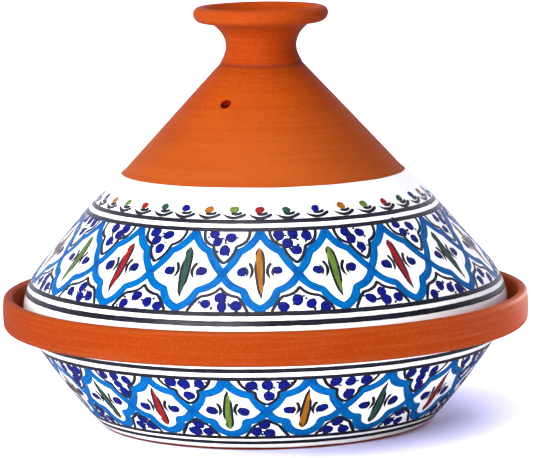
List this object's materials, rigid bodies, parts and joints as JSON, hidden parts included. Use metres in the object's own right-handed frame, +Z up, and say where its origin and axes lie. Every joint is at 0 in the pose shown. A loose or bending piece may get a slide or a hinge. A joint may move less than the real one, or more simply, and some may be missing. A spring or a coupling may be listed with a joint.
{
  "type": "tagine pot",
  "caption": "Earthenware cooking pot: a wide dish with a bare clay rim and a tall conical lid with a flared knob, both with a white glazed band.",
  "frame": {"origin": "centre of the foot ring, on the table", "axes": "+Z up along the wheel axis of dish and lid; -Y is the front, where a painted medallion of the lid faces the viewer; +X to the viewer's right"},
  "size_m": [0.3099, 0.31, 0.2444],
  "materials": {
    "terracotta": "bare fired clay, matte with a faint sheen from turning",
    "white_glaze": "glossy white glaze with painted decoration",
    "lining_glaze": "glossy white glaze, plain"
  },
  "bodies": {
    "dish": {"dish_body": "terracotta", "dish_outer_glaze": "white_glaze", "dish_inner_glaze": "lining_glaze"},
    "lid_lining": {"lid_inner_glaze": "lining_glaze"},
    "lid": {"lid_cone": "terracotta", "lid_knob": "terracotta", "lid_outer_glaze": "white_glaze"}
  },
  "joints": [
    {"name": "lid_lift", "type": "slide", "parent": "dish", "child": "lid_lining", "axis": [0, 0, 1], "range_m": [0, 0.25]},
    {"name": "lid_turn", "type": "hinge", "parent": "lid_lining", "child": "lid", "pos_m": [0, 0, 0.0629], "axis": [0, 0, 1], "continuous": true}
  ]
}
